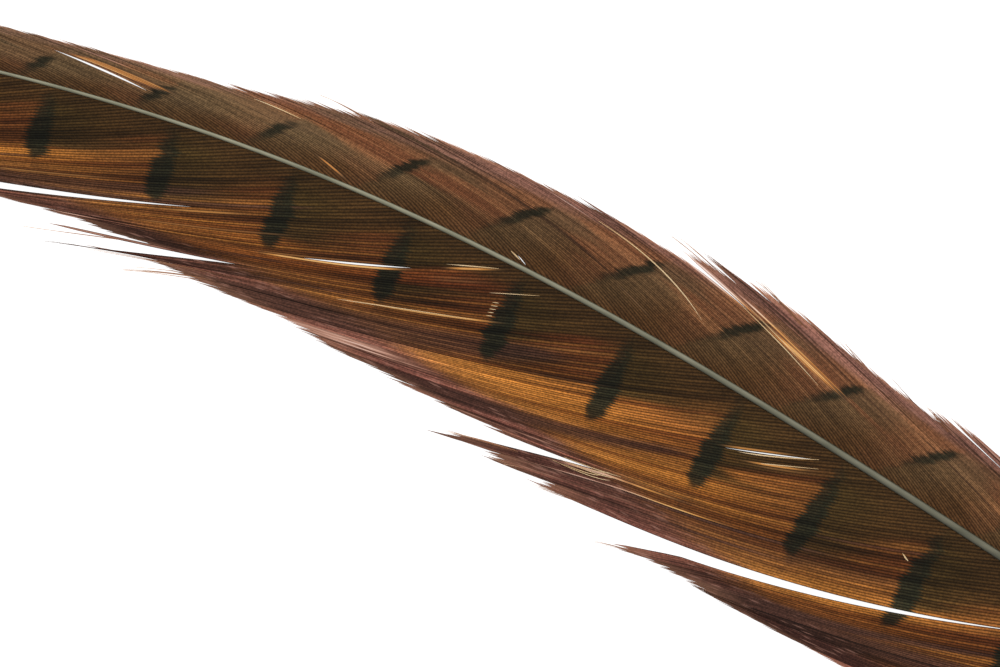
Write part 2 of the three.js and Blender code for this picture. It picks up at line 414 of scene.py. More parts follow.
wide_overlap_shades = [
    mark(167, 10, 0.42, 1.2, 0.95),
    mark(176, 2.4, 0.35, 1.2, 0.9, lean=-8),
    mark(191, 7, 0.35, 1.2, 0.35),
    mark(189.5, 0.7, 0.6, 1.2, 0.6),
    mark(194.5, 0.8, 0.45, 1.2, 0.8),
    mark(198.6, 0.8, 0.6, 1.2, 0.6),
    mark(199.5, 0.6, 0.12, 0.5, 0.5),
    mark(218, 4.6, 0.4, 1.2, 0.8, lean=-12),
    mark(242.5, 8, 0.3, 1.2, 0.8, lean=-6.5),
    mark(253.5, 0.9, 0.5, 1.2, 0.75, lean=-4),
    mark(263, 1.2, 0.52, 0.98, 0.75, lean=-8),
    mark(274, 3, 0.8, 1.2, 0.5),
    mark(282.4, 1.4, 0.2, 1.2, 0.8, lean=-2),
    mark(287, 5, 0.35, 1.2, 0.75, lean=-4),
    mark(298, 1.6, 0.5, 1.2, 0.7, lean=-4),
    mark(311, 2, 0.5, 1.2, 0.7, lean=-4),
]
wide_warm = [
    mark(150, 5, 0.3, 0.8, 0.6),
    mark(180, 4, 0.3, 0.8, 0.6),
    mark(207, 3.5, 0.42, 0.82, 0.9),
    mark(213.5, 2.2, 0.16, 0.46, 0.6),
    mark(225, 7.5, 0.26, 0.84, 0.9),
    mark(246, 3, 0.1, 0.5, 0.5),
    mark(262.5, 3.2, 0.1, 0.84, 1),
    mark(272, 4.5, 0.45, 0.84, 0.6),
    mark(299, 4, 0.4, 0.84, 0.7),
    mark(318, 5, 0.3, 0.84, 0.7),
    mark(345, 6, 0.3, 0.84, 0.7),
    mark(372, 6, 0.3, 0.84, 0.7),
    mark(120, 6, 0.3, 0.84, 0.7),
    mark(85, 7, 0.3, 0.84, 0.6),
]
wide_gleams = [
    mark(185.6, 0.35, 0.8, 1.2, 0.4),
    mark(192, 0.5, 0.75, 1.2, 0.5),
    mark(195.4, 0.5, 0.62, 0.95, 0.8),
    mark(198.9, 0.4, 0.66, 0.9, 0.6),
    mark(200.8, 0.4, 0.6, 0.85, 0.6),
    mark(183.9, 0.3, 0.45, 1.2, 0.6),
    mark(203.2, 1.1, 0.76, 1.2, 0.65),
    mark(217.8, 0.5, 0.12, 0.34, 0.7),
    mark(221.5, 0.6, 0.1, 0.34, 0.5),
    mark(225, 4, 0.8, 1.2, 0.6),
    mark(234, 0.35, 0.3, 0.6, 0.4),
    mark(244.2, 0.5, 0.15, 0.4, 0.4),
    mark(249.8, 0.5, 0.33, 0.68, 0.6),
    mark(254, 0.5, 0.27, 0.36, 0.6, lean=-25),
    mark(256.5, 0.8, 0.8, 1.2, 0.5),
    mark(258.6, 0.3, 0.06, 0.22, 0.6),
    mark(262, 0.7, 0.12, 0.35, 0.4),
    mark(264.6, 0.8, 0.3, 0.68, 0.8),
    mark(265.6, 0.55, 0.03, 0.24, 1.1),
    mark(266.5, 3.4, 0.8, 1.2, 0.6),
    mark(273, 0.4, 0.4, 0.8, 0.6),
    mark(279, 0.4, 0.4, 0.64, 0.5),
    mark(290, 0.4, 0.5, 0.8, 0.5),
    mark(304, 0.4, 0.4, 0.8, 0.5),
]


def chance_marks(seed, listed_from, listed_to):
    """Overlaps of painted shade and painted gleams for the rest of a vane, one overlap and two
    gleams to a lock.
    """
    luck = np.random.default_rng(seed)
    overlap_shades, gleams = [], []
    root = FIRST_BARB + 8.0
    while root < LAST_BARB - 14:
        if not listed_from < root < listed_to:
            spread, begins = luck.uniform(1.2, 4.0), luck.uniform(0.3, 0.6)
            overlap_shades.append(mark(root, spread, begins, 1.2, 0.85, lean=luck.uniform(-8, 0)))
            gleams.append(mark(root + luck.uniform(4, 7), spread, 0.8, 1.2, 0.5))
            gleams.append(mark(root + luck.uniform(3, 8), 0.4, begins - 0.1, 0.8, 0.6))
        root += luck.uniform(9, 15)
    return overlap_shades, gleams


def smooth_between(points, at):
    x, y = (np.array(values, dtype=float) for values in zip(*points))
    inner = (y[2:] - y[:-2]) / (x[2:] - x[:-2])
    first = (y[1] - y[0]) / (x[1] - x[0])
    last = (y[-1] - y[-2]) / (x[-1] - x[-2])
    slope = np.concatenate([[first], inner, [last]])
    i = np.clip(np.searchsorted(x, at) - 1, 0, len(x) - 2)
    span = x[i + 1] - x[i]
    t = np.clip((at - x[i]) / span, 0, 1)
    return (
        y[i] * (2 * t**3 - 3 * t**2 + 1)
        + slope[i] * span * (t**3 - 2 * t**2 + t)
        + y[i + 1] * (3 * t**2 - 2 * t**3)
        + slope[i + 1] * span * (t**3 - t**2)
    )


def straight_between(points, at):
    return np.interp(at, *zip(*points))


def wide_straightening(reach):
    return 1 - 0.7 * reach**1.3


def barb_angle(vane, station, reach):
    """The angle between a barb and the shaft, in radians."""
    return np.radians(straight_between(vane["angle"], station) * vane["straightening"](reach))


def lay_barbs(vane, roots, ends, steps=BARB_STEPS):
    """The stations and reaches along each barb, one row for each, from the shaft outwards."""
    stations = [roots]
    reaches = [np.zeros_like(roots)]
    stride = ends / steps

    def slope(station, reach):
        margin = smooth_between(vane["margin"], station)
        return margin / np.tan(barb_angle(vane, station, reach))

    for _ in range(steps):
        station, reach = stations[-1], reaches[-1]
        middle = reach + stride / 2
        halfway = station + slope(station, middle) * stride / 2
        stations.append(station + slope(halfway, middle) * stride)
        reaches.append(reach + stride)
    return np.stack(stations, axis=1), np.stack(reaches, axis=1)


def shift_beside(split, shift, reach, flick=0.0):
    opens, closes = split[1], split[2]
    if closes is None:
        opened = np.maximum(reach - opens, 0) / (1 - opens)
        end = flick * np.clip((reach - FLICK_BEGINS) / FLICK_RUN, 0, FLICK_MOST)
        return shift * (opened**PARTING_CURVE + end)
    along = np.clip((reach - opens) / (closes - opens), 0, 1)
    return shift * np.sin(np.pi * along)


def lock_shift(vane, lock, root, reach):
    """How far the partings on both sides move each barb of one lock outwards."""
    quill_side, tip_side = vane["splits"][lock], vane["splits"][lock + 1]
    share = (root - quill_side[0]) / (tip_side[0] - quill_side[0])
    share = np.clip(share, 0, 1)[:, None]
    quill_shift = shift_beside(quill_side, quill_side[4], reach)
    tip_shift = shift_beside(tip_side, tip_side[3], reach, flick=tip_side[5])
    return quill_shift * (1 - share) + tip_shift * share


def vane_height(vane, station, reach):
    out = np.clip(reach, 0, 1)
    along = np.minimum(station, FEATHER_LENGTH)
    seat = np.maximum(VANE_SEAT * SHAFT_DEPTH * shaft_width(along) - VANE_CLEARANCE, 0)
    arch = VANE_ARCH * smooth_between(vane["margin"], station) * np.sin(np.pi * out**0.8)
    return underside_height(along) + seat * (1 - out) ** 1.5 + arch + VANE_CLEARANCE


def marks(entries, root, reach, widening):
    """How strongly each point of each barb lies in the marks that are listed: overlaps of painted
    shade, painted gleams or warm patches.
    """
    total = np.zeros_like(reach)
    for middle, spread, begins, ends, strength, lean in entries:
        in_reach = np.clip((reach - begins) / 0.1, 0, 1) * np.clip((ends - reach) / 0.06, 0, 1)
        opened = np.clip((reach - begins) / 0.6, 0, 1)
        widths = spread * (1 - widening + widening * opened)
        away = np.abs(root[:, None] - middle - lean * (reach - begins))
        near = np.exp(-((away / widths) ** 4))
        total += strength * near * in_reach
    return np.clip(total, 0, 1)


def strip_mesh(name, rows, inside_out):
    """A joined mesh of closed strips; rows holds strip, step, corner, xyz in millimetres."""
    strips, steps, corners, _ = rows.shape
    index = np.arange(strips * steps * corners).reshape(strips, steps, corners)
    following = np.roll(index, -1, axis=2)
    sides = [index[:, :-1], following[:, :-1], following[:, 1:], index[:, 1:]]
    sides = np.stack(sides, axis=-1).reshape(-1, 4)
    caps = np.concatenate([index[:, 0, ::-1], index[:, -1]])
    faces = sides.tolist() + caps.tolist()
    if inside_out:
        faces = [face[::-1] for face in faces]
    mesh = bpy.data.meshes.new(name)
    mesh.from_pydata(rows.reshape(-1, 3) * MM, [], faces)
    piece = bpy.data.objects.new(name, mesh)
    bpy.context.scene.collection.objects.link(piece)
    return piece


def grow_vane(name, vane, seed):
    """One joined mesh of barbs, each a closed strip with a ridge above and below."""
    luck = np.random.default_rng(seed)
    roots = [float(FIRST_BARB)]
    while roots[-1] < LAST_BARB:
        roots.append(roots[-1] + straight_between(vane["pitch"], roots[-1]))
    roots = np.array(roots)
    half_pitch = straight_between(vane["pitch"], roots) / 2
    count = len(roots)

    # barbs hang together in small bunches, whose ends stray as one
    bunch = np.cumsum(luck.random(count) < vane["bunching"])
    bunches = bunch[-1] + 1
    bunch_end = luck.normal(0, vane["ragged"], bunches)[bunch]
    bunch_stray = luck.normal(0, BUNCH_STRAY, bunches)[bunch][:, None]
    bunch_lift = luck.normal(0, BUNCH_LIFT, bunches)[bunch][:, None]
    ends = straight_between(vane["trim"], roots) + bunch_end + luck.normal(0, 0.004, count)
    wave = luck.normal(0, 1, (3, count))[:, :, None]
    mixed = luck.random(count) + 0.9 * luck.random(bunches)[bunch]
    tint = np.argsort(np.argsort(mixed)) / (count - 1)
    bunch_tint = luck.permutation(bunches)[bunch] / (bunches - 1)

    locks = np.searchsorted([split[0] for split in vane["splits"]], roots) - 1
    locks = np.clip(locks, 0, len(vane["splits"]) - 2)
    lines = []
    for offset in (-half_pitch, 0 * half_pitch, half_pitch):
        moved = roots + offset
        station, reach = lay_barbs(vane, moved, ends)
        sideways = reach * smooth_between(vane["margin"], station)
        for lock in range(len(vane["splits"]) - 1):
            own = locks == lock
            sideways[own] += lock_shift(vane, lock, moved[own], reach[own])
        ripple = 0.012 * wave[0] * np.sin(9 * reach + 3 * wave[1])
        sideways += ripple + reach**3 * (bunch_stray + 0.02 * wave[2])
        lines.append((station, sideways))

    (s0, d0), (s1, d1), (s2, d2) = lines
    pointed = np.clip((1.0 - reach / ends[:, None]) / vane["point"], 0.05, 1)
    lap = pointed * (WEB_LAP + MARGIN_LAP * reach**3)
    s0, d0 = s1 + (s0 - s1) * lap, d1 + (d0 - d1) * lap
    s2, d2 = s1 + (s2 - s1) * lap, d1 + (d2 - d1) * lap
    web = 2 * half_pitch[:, None] * np.sin(barb_angle(vane, s1, reach)) * lap
    ridge = RIDGE_LEAST + RIDGE_PER_WEB * web
    height = vane_height(vane, s1, reach) + bunch_lift * reach**3 + 0.008 * wave[0] * reach
    height = np.maximum(height, VANE_LOWEST)
    against_shaft = 0.3 * shaft_width(s1)
    corners = [
        (s0, d0, height - 0.08 * ridge),
        (s1, d1, height + ridge),
        (s2, d2, height + 0.08 * ridge),
        (s1, d1, height - 0.8 * ridge),
    ]
    rows = []
    for station, sideways, z in corners:
        x, y = beside(station, vane["sign"] * np.maximum(sideways, against_shaft))
        rows.append(np.stack([x, y, z], axis=2))
    piece = strip_mesh(name, np.stack(rows, axis=2), inside_out=vane["sign"] > 0)

    def hold(attribute, values, corner_values=(1, 1, 1, 1)):
        whole = np.broadcast_to(values, reach.shape)[:, :, None]
        keep_attribute(piece, attribute, whole * np.array(corner_values))

    hold("station", s1)
    hold("reach", reach)
    hold("sideways", d1)
    hold("root", roots[:, None])
    together = 0.5 * np.clip((reach - 0.5) / 0.35, 0, 1)
    hold("tint", tint[:, None] * (1 - together) + bunch_tint[:, None] * together)
    hold("overlap_shade", marks(vane["overlap_shades"], roots, reach, widening=0.85))
    hold("gleam", marks(vane["gleams"], roots, reach, widening=0))
    hold("warm", marks(vane["warm"], roots, reach, widening=0))
    hold("tip", np.clip((reach / ends[:, None] - 0.94) / 0.06, 0, 1))
    hold("edge", 1.0, (1, 0, 1, 0))
    hold("under", 1.0, (0, 0, 0, 1))
    return piece


def with_ends(partings):
    return [parting(FIRST_BARB - 1, 0.9, 0), *partings, parting(LAST_BARB + 2, 0.9, 0)]


# what the three wanderings below add to a bar's place on average, in millimetres
USUAL_WANDERING = 1.32


def paint_vane(piece, look):
    """Bars across the vane, a glow on the tip side of each bar, partly its own rusty colour and
    partly painted light, and a plum margin.
    """
    finish = Finish(piece.name + "_barbs", roughness=0.6, specular=0.08)
    station = finish.attribute("station")
    reach = finish.attribute("reach")
    root = finish.attribute("root")
    tint = finish.attribute("tint")
    grain = finish.grain(finish.times(root, 1.6), finish.times(station, 0.16))
    patch = finish.grain(finish.times(root, 0.33), finish.times(reach, 1.2))

    # bars are counted along the vane: whole numbers lie on them, rising towards the tip
    leaning = finish.times_plus(finish.attribute("sideways"), look["bar_slant"], station)
    for wandering, most in ((tint, 0.35), (grain, 0.7), (patch, 1.6)):
        leaning = finish.times_plus(wandering, most, leaning)
    first = look["first_bar"] + USUAL_WANDERING
    counted = finish.sum("DIVIDE", finish.sum("SUBTRACT", leaning, first), look["bar_pitch"])
    slowed = finish.times(finish.times(counted, counted), look["bar_slowing"])
    counted = finish.sum("SUBTRACT", counted, slowed)
    phase = finish.sum("FRACT", counted)
    from_bar = finish.times(finish.sum("PINGPONG", counted, 0.5), look["bar_pitch"])
    nearer = finish.step(station, 275, 302, 0, look["bar_nearer_shaft"])
    along_bar = finish.sum("ADD", reach, nearer)
    inside = finish.sum("SUBTRACT", finish.curve(along_bar, look["bar_width"]), from_bar)
    bar = finish.step(inside, -0.24, 0.28)
    bar = finish.times(bar, finish.curve(along_bar, look["bar_strength"]))
    bar = finish.times(bar, finish.step(root, 58, 92))

    ground = finish.ramp(reach, look["ground"])
    olive = finish.times(finish.step(phase, 0.3, 0.9), finish.curve(reach, look["olive"]))
    ground = finish.blend(olive, ground, look["olive_colour"])
    # the amber on the tip side of each bar: the vane's own rusty colour, brightened as painted
    # light shining through it, more so at warm marks
    warm = finish.attribute("warm")
    glow = finish.sum("SUBTRACT", phase, finish.curve(reach, look["glow_length"]))
    glow = finish.times_plus(patch, -0.7, glow)
    glow = finish.step(finish.times_plus(warm, -0.6, glow), -0.15, -0.5)
    glow = finish.times(glow, finish.curve(reach, look["glow_strength"]))
    glow = finish.times(glow, finish.times_plus(warm, 0.5, 0.6))
    ruddy = finish.blend(0.45, finish.ramp(reach, look["glow"]), look["ruddy"])
    golden = finish.blend(0.2, finish.ramp(reach, look["glow"]), look["golden"])
    colour = finish.blend(glow, ground, finish.blend(finish.step(tint, 0.2, 0.9), ruddy, golden))
    edge_of_glow = finish.times_plus(tint, 0.06, reach)
    edge_of_glow = finish.times_plus(patch, 0.12, edge_of_glow)
    margin = finish.step(edge_of_glow, look["margin_from"] + 0.02, look["margin_from"] + 0.12)
    margin = finish.times(margin, finish.times_plus(warm, -0.7, 1.0))
    plum = finish.ramp(reach, look["margin"])
    colour = finish.blend(margin, colour, plum)
    # painted shade, dark and plum-coloured, where one lock lies over the next
    overlap_shade = finish.attribute("overlap_shade")
    colour = finish.blend(finish.times(overlap_shade, 0.95), colour, look["overlap_shade"])

    dull = finish.step(station, 262, 304, 0, look["dulling"])
    dull = finish.times(dull, finish.step(reach, 0.2, 0.5))
    dull = finish.times(dull, finish.times_plus(warm, -1.0, 1.0))
    colour = finish.blend(dull, colour, look["dull"])

    # the lowest barbs are nearly down, and as plain
    lowest = finish.step(finish.times_plus(patch, 14.0, root), 52, 88, 0.85, 0)
    colour = finish.blend(lowest, colour, shade(124, 106, 90))

    # each barb has its own tone, more so away from the shaft
    tone = finish.curve(tint, look["tones"])
    fade = finish.step(reach, 0.05, 0.5, 0.35, 1.0)
    fade = finish.times(fade, finish.times_plus(overlap_shade, -0.3, 1.0))
    fade = finish.times(fade, finish.step(reach, 0.7, 0.85, 1.0, look["streaks"]))
    tone = finish.times_plus(finish.times_plus(tone, 2.0, -1.0), fade, 1.0)
    tone = finish.sum("MAXIMUM", tone, 0.3)
    grained = finish.step(grain, 0.25, 0.75, 1 - look["grain"], 1 + look["grain"])
    tone = finish.times(tone, grained)
    barbules = finish.noise(4200, 1)
    tone = finish.times(tone, finish.step(barbules, 0.3, 0.7, 0.74, 1.26))
    # painted shade at the edges of each barb's web, where it meets its neighbours, and a painted
    # highlight along its ridge
    web = finish.curve(reach, look["web_shadow"])
    tone = finish.times(tone, finish.step(finish.attribute("edge"), 0.1, 0.85, 1.3, web))
    colour = finish.blend(finish.times(bar, 0.94), colour, look["bar"])
    colour = finish.scaled(colour, tone)
    # the barb tips paler: partly their own thin colour, partly painted light shining through them
    pale_glowing_tip = finish.step(tint, 0.1, 0.9, 0.2, look["tip_paling_and_glow"])
    pale_glowing_tip = finish.times(finish.attribute("tip"), pale_glowing_tip)
    colour = finish.blend(pale_glowing_tip, colour, shade(206, 150, 118))

    # short pale glints along the barbs where the margin is dark: painted light through gaps between
    # them
    gap_glint = finish.grain(finish.times(root, 4.5), finish.times(station, 0.5), 0)
    gap_glint = finish.step(gap_glint, 0.62, 0.76, 0, 0.4)
    gap_glint = finish.times(gap_glint, finish.step(reach, 0.7, 0.85))
    colour = finish.blend(finish.times(gap_glint, margin), colour, shade(170, 124, 108))

    # thin places let the light through: painted light, creamy at its brightest and pinker towards
    # the margin
    gleam = finish.times(finish.attribute("gleam"), finish.step(tint, 0.0, 0.8, 0.5, 1.1))
    flecks = finish.step(finish.times(grain, tint), 0.08, 0.42, 0.15, 1.3)
    flecks = finish.step(reach, 0.74, 0.8, 1.0, flecks)
    gleam = finish.times(gleam, flecks)
    gleam = finish.times(gleam, finish.step(root, 62, 120, 0.25, 1))
    gleam = finish.times(gleam, finish.step(finish.attribute("edge"), 0.25, 0.85, 1.0, 0.3))
    bright = finish.ramp(gleam, look["gleam"])
    bright = finish.blend(finish.step(reach, 0.74, 0.84), bright, finish.ramp(gleam, look["pale"]))
    colour = finish.blend(finish.step(gleam, 0.05, 0.6), colour, bright)
    below = finish.step(finish.attribute("under"), 0.1, 0.8, 0, 0.6)
    colour = finish.blend(below, colour, shade(112, 94, 78))
    finish.paint(colour)
    finish.bump(barbules, 0.00001, 0.5)
    piece.data.materials.append(finish.material)


more_overlap_shades, more_gleams = chance_marks(3, listed_from=140, listed_to=315)
wide = {
    "sign": 1,
    "margin": wide_margin,
    "angle": wide_angle,
    "trim": wide_trim,
    "pitch": wide_pitch,
    "straightening": wide_straightening,
    "splits": with_ends(wide_partings),
    "overlap_shades": wide_overlap_shades + more_overlap_shades,
    "warm": wide_warm,
    "gleams": wide_gleams + more_gleams,
    "bunching": 0.22,
    "ragged": 0.005,
    "point": 0.025,
}
wide_look = {
    "first_bar": 208.2,
    "bar_pitch": 13.86,
    "bar_slowing": 0.0048,
    "bar_slant": 0.0,
    "bar_nearer_shaft": 0.0,
    "bar": shade(32, 31, 19),
    "bar_width": [(0, 0.3), (0.12, 0.7), (0.26, 1.05), (0.4, 1.35), (0.52, 1.2), (0.6, 0.4),
                  (0.66, 0), (1, 0)],
    "bar_strength": [(0, 0), (0.07, 0.35), (0.16, 0.8), (0.28, 1), (0.56, 1), (0.64, 0), (1, 0)],
    "ground": [
        (0.0, shade(60, 41, 20)), (0.2, shade(68, 45, 20)), (0.42, shade(77, 48, 22)),
        (0.62, shade(88, 54, 26)), (0.78, shade(90, 58, 34)),
    ],
    "olive": [(0, 0), (0.1, 0.25), (0.2, 0.55), (0.45, 0.55), (0.6, 0.15), (0.7, 0), (1, 0)],
    "olive_colour": shade(52, 43, 18),
    "glow": [
        (0.15, shade(106, 54, 27)), (0.35, shade(126, 66, 28)), (0.6, shade(144, 84, 30)),
        (0.8, shade(148, 92, 42)),
    ],
    "ruddy": shade(104, 44, 22),
    "golden": shade(178, 128, 58),
    "glow_length": [(0, 0), (0.2, 0.2), (0.4, 0.5), (0.6, 0.9), (0.7, 1), (1, 1)],
    "glow_strength": [(0, 0), (0.12, 0.2), (0.25, 0.7), (0.5, 0.8), (0.7, 0.95), (1, 1)],
    "margin_from": 0.81,
    "margin": [(0.8, shade(102, 63, 48)), (0.88, shade(98, 59, 49)), (1, shade(92, 54, 45))],
    "overlap_shade": shade(66, 42, 34),
    "streaks": 2.2,
    "tip_paling_and_glow": 0.35,
    "dulling": 0.12,
    "dull": shade(84, 62, 36),
    "grain": 0.3,
    "tones": [(0, 0.14), (0.25, 0.34), (0.6, 0.5), (0.85, 0.68), (1, 1)],
    "web_shadow": [(0, 0.42), (0.2, 0.4), (0.4, 0.26), (0.7, 0.26), (1, 0.4)],
    "gleam": [
        (0.2, shade(124, 92, 60)), (0.5, shade(200, 136, 68)), (0.75, shade(232, 188, 124)),
        (1, shade(250, 232, 200)),
    ],
    "pale": [(0.2, shade(150, 104, 84)), (0.6, shade(196, 150, 130)), (1, shade(236, 208, 194))],
}
wide_vane = grow_vane("wide_vane", wide, seed=7)
paint_vane(wide_vane, wide_look)
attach(wide_vane, "root")
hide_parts("feather")

# ---- The narrow vane
# Some 430 shorter barbs on the right of the shaft, the side that cuts the air. They turn
# more sharply towards the tip, and their ends stand out of the margin in fine spikes.

narrow_margin = [
    (30, 1), (44, 6), (60, 9), (90, 10.5), (140, 10.6), (190, 9.4), (215, 9.8), (240, 11),
    (262, 10.4), (290, 8), (315, 5.7), (335, 5.2), (370, 4.6), (395, 3.6), (410, 2.3), (420, 0.4),
]
narrow_angle = [(30, 48), (60, 38), (120, 30), (280, 27), (330, 21), (420, 17)]
narrow_trim = [
    (38, 1.03), (172, 1.03), (178, 0.97), (184, 0.95), (189, 1.02), (200, 1.03), (204, 0.95),
    (212, 0.9), (216, 0.97), (228, 1), (233, 1.04), (246, 1.02), (256, 0.98), (266, 0.95),
    (274, 0.92), (283, 0.98), (298, 1), (404, 1.03), (418, 0.78),
]
narrow_pitch = [(38, 0.9), (120, 0.82), (240, 0.79), (272, 0.92), (409, 1.0)]
narrow_partings = [
    parting(50, 0.5, 1.3, 0.1),
    parting(62, 0.45, 1.2, -0.2),
    parting(76, 0.6, 0.9, -0.1),
    parting(90, 0.7, 0.7, -0.1),
    parting(105, 0.65, 0.7, -0.1),
    parting(120, 0.8, 0.5, -0.1),
    parting(134, 0.7, 0.5, -0.1),
    parting(147, 0.8, 0.6, -0.1),
    parting(160, 0.75, 0.4, -0.1),
    parting(172, 0.8, 0.2, -0.05),
    parting(185.5, 0.86, 0.15, -0.05),
    parting(197, 0.9, 0.15, -0.05),
    parting(211, 0.7, 1.2, 0.1),
    parting(251, 0.9, 0.1, -0.05),
    slit(264.6, 0.04, 0.12, 0.2),
    slit(286.4, 0.06, 0.28, 0.05),
    slit(303.9, 0.4, 0.78, 0.26),
    parting(330, 0.75, 0.25),
    parting(360, 0.7, 0.25),
    parting(390, 0.8, 0.1),
]
narrow_overlap_shades = [
    mark(178, 1.6, 0.5, 1.2, 0.8, lean=-3),
    mark(191, 1.2, 0.7, 1.2, 0.7),
    mark(193.6, 0.6, 0.36, 0.7, 0.8),
    mark(200.2, 0.8, 0.4, 1.2, 0.9),
    mark(205.5, 0.8, 0.78, 1.2, 0.5),
    mark(218, 1.3, 0.72, 1.2, 0.8),
    mark(221.5, 0.8, 0.35, 0.9, 0.5),
    mark(235.5, 1.6, 0.88, 1.3, 0.9),
    mark(243.8, 1.7, 0.35, 1.3, 0.9, lean=-4),
    mark(243, 3, 0.84, 1.3, 0.7),
    mark(253.6, 0.8, 0.7, 1.2, 0.8),
    mark(286, 0.9, 0.25, 0.76, 1, lean=5),
    mark(293.5, 1.4, 0.5, 0.7, 0.7),
    mark(299, 0.5, 0.3, 0.6, 0.6),
    mark(300.6, 0.4, 0.1, 0.5, 0.5),
]
narrow_warm = [
    mark(209, 3, 0.45, 0.8, 0.8),
    mark(227, 4, 0.5, 0.85, 0.4),
    mark(240, 2.5, 0.45, 0.85, 0.3),
    mark(256, 5, 0.35, 0.86, 0.6),
    mark(266, 7, 0.4, 1.2, 0.9),
    mark(301, 3, 0.42, 0.8, 1),
    mark(291, 2.5, 0.6, 0.9, 0.5),
]
narrow_gleams = [
    mark(175.5, 1, 0.86, 1.2, 0.6),
    mark(187, 0.6, 0.84, 1.2, 0.5),
    mark(195.3, 0.4, 0.33, 0.46, 0.5),
    mark(202.3, 0.6, 0.88, 1.3, 0.6),
    mark(206.5, 0.5, 0.84, 1.2, 0.5),
    mark(210.4, 0.9, 0.72, 1.2, 0.9),
    mark(209.5, 2, 0.5, 0.74, 0.7),
    mark(207.2, 0.5, 0.62, 0.72, 0.5),
    mark(224.5, 1, 0.78, 0.96, 0.7),
    mark(245.4, 0.35, 0.14, 0.36, 0.5),
    mark(264, 0.5, 0.04, 0.14, 0.6),
    mark(270, 1, 0.76, 0.85, 0.9),
    mark(271.6, 0.35, 0.28, 0.44, 0.5),
    mark(279, 6, 0.45, 1.1, 0.24),
    mark(286.6, 0.4, 0.06, 0.28, 0.5),
    mark(292, 0.6, 0.7, 1.2, 0.4),
    mark(299.6, 3, 0.44, 0.8, 0.62),
    mark(301.6, 0.3, 0.52, 0.76, 0.9),
    mark(207.6, 1.0, 0.66, 0.86, 0.7),
]


def narrow_straightening(reach):
    return 0.24 + 0.76 * np.exp(-2.6 * reach)


more_overlap_shades, more_gleams = chance_marks(5, listed_from=172, listed_to=305)
narrow = {
    "sign": -1,
    "margin": narrow_margin,
    "angle": narrow_angle,
    "trim": narrow_trim,
    "pitch": narrow_pitch,
    "straightening": narrow_straightening,
    "splits": with_ends(narrow_partings),
    "overlap_shades": narrow_overlap_shades + more_overlap_shades,
    "warm": narrow_warm,
    "gleams": narrow_gleams + more_gleams,
    "bunching": 0.4,
    "ragged": 0.016,
    "point": 0.05,
}
narrow_look = {
    "first_bar": 219.3,
    "bar_pitch": 13.6,
    "bar_slowing": 0.0,
    "bar_slant": 1.0,
    "bar_nearer_shaft": 0.14,
    "bar": shade(36, 34, 23),
    "bar_width": [(0, 0), (0.15, 0.25), (0.3, 0.55), (0.5, 0.85), (0.68, 0.8), (0.76, 0.3),
                  (0.82, 0), (1, 0)],
    "bar_strength": [(0, 0), (0.2, 0.2), (0.35, 0.55), (0.46, 0.95), (0.7, 1), (0.76, 0.3),
                     (0.8, 0), (1, 0)],
    "ground": [
        (0.0, shade(72, 47, 24)), (0.25, shade(78, 52, 28)), (0.5, shade(95, 66, 41)),
        (0.7, shade(106, 74, 50)), (0.8, shade(108, 74, 52)),
    ],
    "olive": [(0, 0), (0.1, 0.15), (0.3, 0.3), (0.7, 0.3), (0.85, 0), (1, 0)],
    "olive_colour": shade(84, 72, 50),
    "glow": [
        (0.2, shade(104, 64, 42)), (0.5, shade(124, 76, 46)), (0.8, shade(132, 82, 50)),
    ],
    "ruddy": shade(108, 60, 42),
    "golden": shade(142, 106, 76),
    "glow_length": [(0, 0.1), (0.3, 0.3), (0.6, 0.4), (0.8, 0.5), (1, 0.5)],
    "glow_strength": [(0, 0.2), (0.3, 0.5), (0.5, 0.8), (0.85, 0.9), (1, 0.5)],
    "margin_from": 0.84,
    "margin": [(0.8, shade(114, 78, 60)), (0.9, shade(120, 82, 70)), (1, shade(116, 78, 66))],
    "overlap_shade": shade(56, 37, 26),
    "streaks": 1.25,
    "tip_paling_and_glow": 0.9,
    "dulling": 0.6,
    "dull": shade(104, 84, 58),
    "grain": 0.2,
    "tones": [(0, 0.34), (0.3, 0.46), (0.7, 0.54), (0.92, 0.62), (1, 0.8)],
    "web_shadow": [(0, 0.52), (0.35, 0.44), (0.6, 0.38), (1, 0.45)],
    "gleam": [
        (0.2, shade(128, 102, 78)), (0.5, shade(196, 128, 64)), (0.75, shade(228, 178, 116)),
        (1, shade(250, 232, 204)),
    ],
    "pale": [(0.2, shade(150, 104, 88)), (0.6, shade(196, 152, 134)), (1, shade(238, 212, 198))],
}
narrow_vane = grow_vane("narrow_vane", narrow, seed=11)
paint_vane(narrow_vane, narrow_look)
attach(narrow_vane, "root")
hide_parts("feather")

# ---- Loose barbs
# Where locks have come unhooked, a few barbs stand out beyond the margin on their own. Each
# is the bare rod of its barb, thinning to a hair. They are as they grew, rooted in the vane.

PLACED_FROM = 135
PLACED_TO = 300
STRAND_STEPS = 14
STRAND_RADIUS = 0.055
STRAND_LOWEST = 0.2


